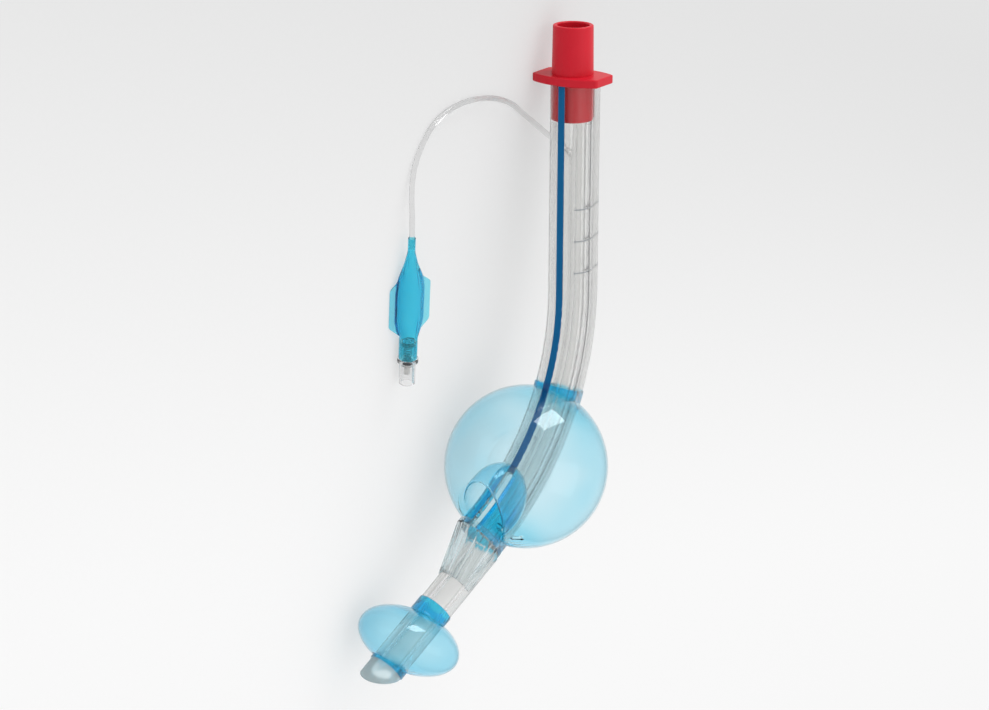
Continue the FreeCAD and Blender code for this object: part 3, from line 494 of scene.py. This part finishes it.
throatBack = 0.00065  # the throat cuff's centre stands this far behind the section's
gulletTilt = math.radians(20)  # the gullet cuff leans on the tube
throatCuff = {
    "node": "pharyngeal_cuff",
    "centre": throatCentre + throatTurn @ Vector((-throatBack, 0, 0)),
    "turn": throatTurn,
    "radii": (0.0315, 0.0315, 0.0315),
    "facet": 0.0022,
    "foldDepth": 0.00022,
    "folds": 30,
    "standsOff": offBend,
    "density": 380.0,
}
gulletCuff = {
    "node": "oesophageal_cuff",
    "centre": tailCentre + tailTurn @ Vector((-section["tailBack"], 0, 0)),
    "turn": tailTurn @ Matrix.Rotation(-twist, 3, "Z") @ Matrix.Rotation(gulletTilt, 3, "Y"),
    "radii": (0.0204, 0.0204, 0.012),
    "facet": 0.0016,
    "foldDepth": 0.00018,
    "folds": 24,
    "standsOff": offTail,
    "density": 760.0,
}

whiteMaterial = moulded("whitePlastic", whiteFinish)
finishes = {
    "connector": redPlastic(connectorFinish),
    "airway_tube": clearTube(tubeFinish),
    "contrast_stripe": stripePlastic(stripeFinish),
    "ventilation_ramp": plainClear("clearRamp", rampFinish),
    "valve_body": plainClear("clearValve", valveFinish),
    "valve_stem": whiteMaterial,
    "valve_seal": moulded("darkRubber", rubberFinish),
    "valve_cage": whiteMaterial,
}
for nodeName, material in finishes.items():
    nodes[nodeName].data.materials.clear()
    nodes[nodeName].data.materials.append(material)
print("solids finished:", len(finishes))

# Inflated films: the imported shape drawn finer, set on the true ball, and gathered towards the collars
inflating = {
    "wall": 0.0004,
    "merge": 2e-6,
    "rounds": 3,
    "onBall": 0.00012,
    "gatherFrom": 0.8,  # share of the way from the middle to a pole
    "gatherOver": 0.17,
    "bondSlack": 0.0002,
    "sharpAngle": 40.0,
}


# Depth of a cuff's folds at a point of its ball: none round the middle, all of it near the collars
def foldDepth(cuff, reach):
    poleward = abs(reach.z) / reach.length
    gather = clamped((poleward - inflating["gatherFrom"]) / inflating["gatherOver"], 0, 1)
    fold = 1 + math.cos(cuff["folds"] * math.atan2(reach.y, reach.x))
    return cuff["foldDepth"] * gather * gather * (3 - 2 * gather) * fold / 2


def setOnBall(vert, cuff):
    outer = Vector(cuff["radii"])
    inner = Vector([size - inflating["wall"] for size in outer])
    spot = cuff["turn"].transposed() @ (vert.co - cuff["centre"])
    for shell in (outer, inner):
        reach = Vector([spot[axis] / shell[axis] for axis in range(3)])
        if abs(reach.length - 1) * min(shell) < inflating["onBall"]:
            gathered = (1 - foldDepth(cuff, reach) / min(shell)) / reach.length
            vert.co = cuff["centre"] + cuff["turn"] @ (spot * gathered)
            return


def inflatedFilm(name, cuff, material):
    work = bmesh.new()
    work.from_mesh(nodes[cuff["node"]].data)
    bmesh.ops.remove_doubles(work, verts=work.verts, dist=inflating["merge"])
    for _ in range(inflating["rounds"]):
        coarse = [edge for edge in work.edges if edge.calc_length() > cuff["facet"]]
        bmesh.ops.subdivide_edges(work, edges=coarse, cuts=1)
        bmesh.ops.triangulate(work, faces=[face for face in work.faces if len(face.verts) > 3])
    for vert in work.verts:
        setOnBall(vert, cuff)
    touch = inflating["wall"] + inflating["bondSlack"]
    bonded = [1.0 if cuff["standsOff"](vert.co) < touch else 0.0 for vert in work.verts]
    mesh = bpy.data.meshes.new(name)
    work.to_mesh(mesh)
    work.free()
    mesh.attributes.new("bonded", "FLOAT", "POINT").data.foreach_set("value", bonded)
    mesh.shade_smooth()
    mesh.set_sharp_from_angle(angle=math.radians(inflating["sharpAngle"]))
    mesh.materials.append(material)
    film = addObject(name, mesh)
    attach(film, "tube")
    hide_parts(cuff["node"])
    print(name, "faces:", len(mesh.polygons))


for filmName, cuff in (("throatCuffFilm", throatCuff), ("gulletCuffFilm", gulletCuff)):
    inflatedFilm(filmName, cuff, cuffFilm(filmName, cuff, filmFinish))

# Pilot balloon: two films welded along flat seams, blown up between them, on the line's neck.
# Its neck and length are in metres, and the sizes of its section are in millimetres. The points of
# an outline are a place along the axis and half the size there.
pilot = {
    "neck": (-0.0441753, 0.0524741, 0.00395),
    "axis": (0.190809, -0.981627, 0.0),
    "roll": 24.505,
    "length": 0.050,
    "thick": (
        (0, 1.4), (5.4, 1.4), (10, 2.2), (16, 3.1),
        (22, 3.3), (38, 3.3), (41, 3.45), (50, 3.45),
    ),
    "wide": (
        (0, 1.4), (5.4, 1.4), (10, 2.5), (16, 5.0), (21, 5.9),
        (34, 5.9), (38, 4.8), (41, 3.45), (50, 3.45),
    ),
    "seam": (
        (0, 0), (12.5, 0), (14, 2.0), (19.5, 8.7),
        (35.5, 8.7), (41, 2.6), (42.5, 0), (50, 0),
    ),
    "smoothing": 0.7,
    "seamHalf": 0.3,
    "seamRound": 0.25,
    "weldShare": 0.9,  # welded where the seam is thicker than this share of the pouch
    "wall": 0.45,
    "neckBore": 1.05,
    "pouchFrom": 4,  # wider than this, the weld also takes some of the room inside
    "weldBite": 0.6,
    "folds": ((-0.45, 0.30), (0.05, 0.22), (0.5, 0.28)),  # place across, depth
    "foldWidth": 0.07,
    "foldsFrom": 6,
    "foldsTo": 42,
    "foldsFade": 4,
    "tightAt": 27,  # blown tight here, with no folds
    "tightOver": 7,
    "rings": 126,
    "around": 96,
    "sharpAngle": 50.0,
}


# One ring of the film: across, height and whether the point is on a weld
def pilotRing(place, facts, inside):
    thick, wide, seam = (float(np.interp(place, *zip(*facts[key]))) for key in ("thick", "wide", "seam"))
    if inside:
        bite = facts["weldBite"] if wide > facts["pouchFrom"] else 0
        thick = max(thick - facts["wall"], facts["neckBore"])
        wide = max(wide - facts["wall"] - bite, facts["neckBore"])
        seam = 0
    reach = max(wide, seam)
    offNeck = clamped((place - facts["foldsFrom"]) / facts["foldsFade"], 0, 1)
    offSleeve = clamped((facts["foldsTo"] - place) / facts["foldsFade"], 0, 1)
    slack = 1 - math.exp(-((place - facts["tightAt"]) / facts["tightOver"]) ** 2)
    points = []
    for step in range(facts["around"]):
        angle = 2 * math.pi * step / facts["around"]
        across = reach * math.cos(angle)
        body = thick * math.sqrt(max(1 - (across / wide) ** 2, 0)) if abs(across) < wide else 0
        for middle, depth in facts["folds"]:
            crease = math.exp(-((across / wide - middle) / facts["foldWidth"]) ** 2)
            thin = min(body / 2, 1)  # folds shallower where the pouch is thin
            body -= depth * crease * offNeck * offSleeve * slack * thin
        edge = (reach - abs(across)) / facts["seamRound"] + facts["seamRound"]
        flat = facts["seamHalf"] * min(1, edge) if seam > wide else 0
        height = (max(body, 0) ** 3 + flat ** 3) ** (1 / 3)  # runs smoothly from pouch to seam
        onSeam = step % (facts["around"] // 2) == 0
        welded = flat > 0 and flat > body * facts["weldShare"]
        points.append((across, 0 if onSeam else math.copysign(height, math.sin(angle)), float(welded)))
    return points


# Rings of one skin, each evened out with its neighbours
def pilotSkin(facts, inside):
    axis = Vector(facts["axis"])
    roll = math.radians(facts["roll"])
    seamWay = Vector((-axis.y, axis.x, 0)) * math.cos(roll) + Vector((0, 0, math.sin(roll)))
    thickWay = axis.cross(seamWay)
    nudges = (-facts["smoothing"], 0, facts["smoothing"])
    whole = facts["length"] * 1000
    vertices, welds = [], []
    for ring in range(facts["rings"]):
        along = facts["length"] * ring / (facts["rings"] - 1)
        near = [pilotRing(clamped(along * 1000 + nudge, 0, whole), facts, inside) for nudge in nudges]
        for before, here, after in zip(*near):
            across, height, weld = ((a + 2 * b + c) / 4 for a, b, c in zip(before, here, after))
            offset = (seamWay * across + thickWay * height) / 1000
            vertices.append(Vector(facts["neck"]) + axis * along + offset)
            welds.append(weld)
    return vertices, welds


# Faces of the outer skin, the inner skin turned over, and the two open ends closed between them
def pilotFaces(count, around):
    faces = []
    inner, last = count * around, (count - 1) * around
    for here in range(0, last, around):
        there = here + around
        for step in range(around):
            after = (step + 1) % around
            outside = (here + step, here + after, there + after, there + step)
            faces.append(outside)
            faces.append(tuple(inner + corner for corner in reversed(outside)))
    for step in range(around):
        after = (step + 1) % around
        faces.append((inner + step, inner + after, after, step))
        faces.append((last + step, last + after, inner + last + after, inner + last + step))
    return faces


def faceOutwards(mesh):
    work = bmesh.new()
    work.from_mesh(mesh)
    bmesh.ops.recalc_face_normals(work, faces=work.faces)
    work.to_mesh(mesh)
    work.free()


def pilotFilm(facts, material):
    vertices, welds = pilotSkin(facts, False)
    innerVertices, innerWelds = pilotSkin(facts, True)
    mesh = bpy.data.meshes.new("pilotFilm")
    mesh.from_pydata(vertices + innerVertices, [], pilotFaces(facts["rings"], facts["around"]))
    mesh.attributes.new("weld", "FLOAT", "POINT").data.foreach_set("value", welds + innerWelds)
    faceOutwards(mesh)
    mesh.shade_smooth()
    mesh.set_sharp_from_angle(angle=math.radians(facts["sharpAngle"]))
    mesh.materials.append(material)
    film = addObject("pilotFilm", mesh)
    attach(film, "tube")
    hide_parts("pilot_balloon")
    return film


# Blue film of the pilot balloon, cloudy, with the welding tool's fine grid pressed into its seams
weldedFinish = {
    "body": (168, 244, 252),
    "cloudy": (138, 236, 248),
    "cloud": 220.0,
    "weld": (182, 246, 253),
    "press": 1600.0,
    "pressShare": 0.8,
    "skin": 380.0,
    "rough": 0.1,
    "clearness": 0.94,
    "index": 1.2,
    "soak": (0.0, 0.76, 0.92, 1.0),
    "density": 760.0,
    "bump": 0.35,
    "relief": 0.0002,
}


def weldedFilm(facts):
    material, tree, shader = newMaterial(
        "weldedFilm", rough=facts["rough"], clear=facts["clearness"], index=facts["index"])
    place = placeFrom(tree)
    weld = addNode(tree, "ShaderNodeAttribute", attribute_name="weld").outputs["Fac"]
    cloud = noiseOn(tree, place, facts["cloud"], detail=3.0)
    body = mixed(tree, cloud, paint(*facts["body"]), paint(*facts["cloudy"]))
    colourBy(tree, shader, weld, body, paint(*facts["weld"]))
    grid = addNode(tree, "ShaderNodeTexVoronoi", {"Vector": place, "Scale": facts["press"]})
    onWeld = sums(tree, "MULTIPLY", grid.outputs["Distance"], weld)
    pressed = sums(tree, "MULTIPLY", onWeld, facts["pressShare"])
    skin = noiseOn(tree, place, facts["skin"], detail=3.0)
    bumpBy(tree, shader, sums(tree, "ADD", skin, pressed), facts)
    absorb(tree, facts["soak"], facts["density"])
    return material


pilotPiece = pilotFilm(pilot, weldedFilm(weldedFinish))
print("pilot balloon made")


# A geometry tree with named inputs, and their values by the sockets' identifiers
def newTree(name, inputs):
    tree = bpy.data.node_groups.new(name, "GeometryNodeTree")
    tree.interface.new_socket("Geometry", in_out="INPUT", socket_type="NodeSocketGeometry")
    values = {}
    for label, value in inputs.items():
        kind = "NodeSocketInt" if isinstance(value, int) else "NodeSocketFloat"
        socket = tree.interface.new_socket(label, in_out="INPUT", socket_type=kind)
        values[socket.identifier] = value
    tree.interface.new_socket("Geometry", in_out="OUTPUT", socket_type="NodeSocketGeometry")
    return tree, addNode(tree, "NodeGroupInput").outputs, values


def endTree(tree, geometry, material):
    real = addNode(tree, "GeometryNodeRealizeInstances", {0: geometry})
    finished = addNode(tree, "GeometryNodeSetMaterial", {"Geometry": real.outputs[0], "Material": material})
    addNode(tree, "NodeGroupOutput", {"Geometry": finished.outputs["Geometry"]})


# Puts a tree on a piece and keeps only the plain mesh that comes of it
def makePlain(piece, tree, values):
    modifier = piece.modifiers.new("shape", "NODES")
    modifier.node_group = tree
    for identifier, value in values.items():
        modifier[identifier] = value
    bpy.context.view_layer.update()
    finished = bpy.data.meshes.new_from_object(piece.evaluated_get(bpy.context.evaluated_depsgraph_get()))
    piece.modifiers.remove(modifier)
    piece.data = finished
    print(piece.name, "faces:", len(finished.polygons))


# Depth ticks, repeated down the straight shaft
depthTicks = {
    "first": 0.0475,
    "spacing": 0.01235,
    "count": 3,
    "from": 38.0,  # degrees round the section
    "to": 118.0,
    "steps": 14,
    "halfWidth": 0.00028,
    "proud": 0.00003,
    "sunk": 0.00002,
}


# Points along a tick: radius, how far back its centre is, and angle
def tickPath(facts):
    lean = math.degrees(flankLean)
    front = np.linspace(facts["from"], lean, facts["steps"])
    back = np.linspace(lean, facts["to"], facts["steps"])
    path = [(section["ventRadius"], 0.0, angle) for angle in front]
    path += [(section["drainRadius"], section["drainBack"], angle) for angle in back]
    return path


def oneTick(facts):
    proud, sunk = facts["proud"], -facts["sunk"]
    vertices, faces = [], []
    for radius, back, angle in tickPath(facts):
        way = Vector((math.cos(math.radians(angle)), math.sin(math.radians(angle)), 0))
        for lift, rise in ((proud, 1), (proud, -1), (sunk, -1), (sunk, 1)):
            spot = way * (radius + lift) - Vector((back, 0, facts["first"] - rise * facts["halfWidth"]))
            vertices.append(shaftTop + shaftTurn @ spot)
    end = len(vertices) - 4
    for start in range(0, end, 4):
        for side in range(4):
            after = (side + 1) % 4
            faces.append((start + side, start + after, start + 4 + after, start + 4 + side))
    faces += [(3, 2, 1, 0), (end, end + 1, end + 2, end + 3)]
    mesh = bpy.data.meshes.new("depthTicks")
    mesh.from_pydata(vertices, [], faces)
    faceOutwards(mesh)
    return mesh


def repeatTree(facts, material):
    inputs = {"Count": facts["count"], "Spacing": facts["spacing"]}
    tree, given, values = newTree("repeatDownShaft", inputs)
    way = tuple(shaftTurn @ Vector((0, 0, -1)))
    sockets = {0: way, "Scale": given["Spacing"]}
    step = addNode(tree, "ShaderNodeVectorMath", sockets, operation="SCALE")
    row = addNode(tree, "GeometryNodeMeshLine", {"Count": given["Count"], "Offset": step.outputs[0]})
    sockets = {"Points": row.outputs["Mesh"], "Instance": given["Geometry"]}
    placed = addNode(tree, "GeometryNodeInstanceOnPoints", sockets)
    endTree(tree, placed.outputs["Instances"], material)
    return tree, values


def markDepths(facts, material):
    piece = addObject("depthTicks", oneTick(facts))
    makePlain(piece, *repeatTree(facts, material))
    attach(piece, "tube")


markDepths(depthTicks, tickInk(inkFinish))

# Return spring of the valve, from the cage to the stem's flange
returnSpring = {
    "foot": (-0.0356653, 0.0086935, 0.00395),
    "room": 0.006,
    "coilRadius": 0.0014,
    "wireRadius": 0.00018,
    "turns": 5.0,
    "stroke": 0.0015,
    "stepsPerTurn": 36,
    "wireSides": 12,
}


def springTree(facts, material):
    tree, given, values = newTree("coiledWire", {
        "Turns": facts["turns"],
        "Coil Radius": facts["coilRadius"],
        "Wire Radius": facts["wireRadius"],
        "Height": facts["room"] - 2 * facts["wireRadius"],
    })
    coil = addNode(tree, "GeometryNodeCurveSpiral", {
        "Resolution": facts["stepsPerTurn"],
        "Rotations": given["Turns"],
        "Start Radius": given["Coil Radius"],
        "End Radius": given["Coil Radius"],
        "Height": given["Height"],
    })
    sockets = {"Resolution": facts["wireSides"], "Radius": given["Wire Radius"]}
    wire = addNode(tree, "GeometryNodeCurvePrimitiveCircle", sockets)
    sockets = {"Curve": coil.outputs["Curve"], "Profile Curve": wire.outputs["Curve"], "Fill Caps": True}
    swept = addNode(tree, "GeometryNodeCurveToMesh", sockets)
    axis = Vector(pilot["axis"])
    placed = addNode(tree, "GeometryNodeTransform", {
        "Geometry": swept.outputs["Mesh"],
        "Translation": Vector(facts["foot"]) + axis * facts["wireRadius"],
        "Rotation": axis.to_track_quat("Z", "Y").to_euler(),
    })
    endTree(tree, placed.outputs["Geometry"], material)
    return tree, values


def windSpring(facts, material):
    piece = addObject("returnSpring", bpy.data.meshes.new("returnSpring"))
    makePlain(piece, *springTree(facts, material))
    faceOutwards(piece.data)
    piece.data.shade_smooth()
    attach(piece, "tube")
    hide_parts("valve_spring")
    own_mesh(piece)
    return piece


springPiece = windSpring(returnSpring, moulded("springSteel", steelFinish))
print("spring wound")

# Inflation line: the route's own points, from the tube's wall to the pilot balloon's neck
line = {
    "route": (
        (0.046120, 0.070779, 0.013567), (0.034940, 0.082029, 0.001), (0.014925, 0.094074, 0.001),
        (-0.013075, 0.099074, 0.001), (-0.035075, 0.095574, 0.001), (-0.044575, 0.082574, 0.001),
        (-0.046275, 0.071574, 0.0018), (-0.045511, 0.059345, 0.00395), (-0.043412, 0.048548, 0.00395),
    ),
    "radius": 0.001,
    "length": 0.1428,
    "stepsPerPoint": 24,
    "roundness": 6,
}


def inflationLine(facts, material):
    curve = bpy.data.curves.new("inflationLine", "CURVE")
    curve.dimensions = "3D"
    spline = curve.splines.new("NURBS")
    spline.points.add(len(facts["route"]) - 1)
    for point, place in zip(spline.points, facts["route"]):
        point.co = (*place, 1.0)
    spline.order_u = 3
    spline.use_endpoint_u = True
    spline.resolution_u = facts["stepsPerPoint"]
    curve.bevel_depth = facts["radius"]
    curve.bevel_resolution = facts["roundness"]
    curve.use_fill_caps = True
    curve.materials.append(material)
    piece = addObject("inflationLine", curve)
    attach(piece, "tube")
    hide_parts("inflation_line")


inflationLine(line, plainClear("clearLine", lineFinish))
print("inflation line laid")

# Pale floor with painted shade that greys it towards the back and the connector's side, and a pale studio
# round it
floorFacts = {
    "half": 6.0,
    "near": (250, 250, 250),
    # painted shade: the darker tone towards the back stands in for the light falling off
    "far": (226, 226, 226),
    "fade": (-0.12, 0.2),  # along Y, with a share of X
    "lean": 0.28,
    "grain": 500.0,
    "grainShare": 0.08,
    "rough": 0.9,
    "shine": 0.1,
    "glow": 0.6,  # how much of the floor's tone the eye gets without its shadow
}
studio = {
    "tone": (252, 252, 252),
    "level": 0.92,  # on the pieces; the eye gets 1
    "horizon": 0.6,
    "horizonTop": 0.5,
}
# A low softbox beyond the connector and a broad one overhead
lamps = {
    "lowSoftbox": {
        "place": (0.45, 1.4, 0.3),
        "aim": (0.02, 0.0, 0.02),
        "size": (1.0, 0.5),
        "power": 10.0,
    },
    "overheadSoftbox": {
        "place": (-0.1, 0.1, 2.2),
        "aim": (0.2, 0.0, 0.0),
        "size": (1.6, 1.6),
        "power": 4.0,
    },
}
# The nested clear walls need many bounces
bounces = {
    "all": 32,
    "throughClear": 32,
    "throughHoles": 24,
}


def addLamp(name, facts):
    data = bpy.data.lights.new(name, "AREA")
    data.shape = "RECTANGLE"
    data.size, data.size_y = facts["size"]
    data.energy = facts["power"]
    lamp = addObject(name, data)
    lamp.location = facts["place"]
    way = Vector(facts["aim"]) - Vector(facts["place"])
    lamp.rotation_euler = way.to_track_quat("-Z", "Y").to_euler()


# 1 for what the eye sees, straight, mirrored or through a clear piece
def seenRays(tree):
    rays = addNode(tree, "ShaderNodeLightPath").outputs
    through = sums(tree, "MAXIMUM", rays["Is Glossy Ray"], rays["Is Transmission Ray"])
    return sums(tree, "MAXIMUM", rays["Is Camera Ray"], through)


def makeFloor(facts):
    half = facts["half"]
    corners = [(-half, -half, 0), (half, -half, 0), (half, half, 0), (-half, half, 0)]
    mesh = bpy.data.meshes.new("floor")
    mesh.from_pydata(corners, [], [(0, 1, 2, 3)])
    floor = addObject("floor", mesh)
    material, tree, shader = newMaterial("paleFloor", rough=facts["rough"], shine=facts["shine"])
    place = placeFrom(tree)
    parts = partsOf(tree, place)
    # painted shade: the floor's tone greys towards the back and the connector's side
    leaning = sums(tree, "MULTIPLY", parts["X"], facts["lean"])
    far = fade(tree, sums(tree, "ADD", parts["Y"], leaning), *facts["fade"])
    grain = sums(tree, "MULTIPLY", noiseOn(tree, place, facts["grain"], detail=4.0), facts["grainShare"])
    tone = mixed(tree, sums(tree, "ADD", far, grain), paint(*facts["near"]), paint(*facts["far"]))
    tree.links.new(tone, shader.inputs["Base Color"])
    glow = addNode(tree, "ShaderNodeEmission", {"Color": tone})
    seen = sums(tree, "MULTIPLY", seenRays(tree), facts["glow"])
    shown = addNode(tree, "ShaderNodeMixShader", {0: seen, 1: shader.outputs[0], 2: glow.outputs[0]})
    tree.links.new(shown.outputs[0], tree.nodes["Material Output"].inputs["Surface"])
    mesh.materials.append(material)


def makeWorld(facts):
    world = bpy.data.worlds.new("studio")
    world.use_nodes = True
    bpy.context.scene.world = world
    tree = world.node_tree
    background = tree.nodes["Background"]
    height = partsOf(tree, addNode(tree, "ShaderNodeTexCoord").outputs["Generated"])["Z"]
    level = fade(tree, height, 0.0, facts["horizonTop"], facts["horizon"], 1.0)
    strength = fade(tree, seenRays(tree), 0.0, 1.0, facts["level"], 1.0)
    tree.links.new(sums(tree, "MULTIPLY", level, strength), background.inputs["Strength"])
    background.inputs["Color"].default_value = paint(*facts["tone"])


makeFloor(floorFacts)
makeWorld(studio)
for lampName, lampFacts in lamps.items():
    addLamp(lampName, lampFacts)
scene = bpy.context.scene
scene.view_settings.view_transform = "Standard"
scene.cycles.max_bounces = bounces["all"]
scene.cycles.transmission_bounces = bounces["throughClear"]
scene.cycles.transparent_max_bounces = bounces["throughHoles"]
print("room lit")
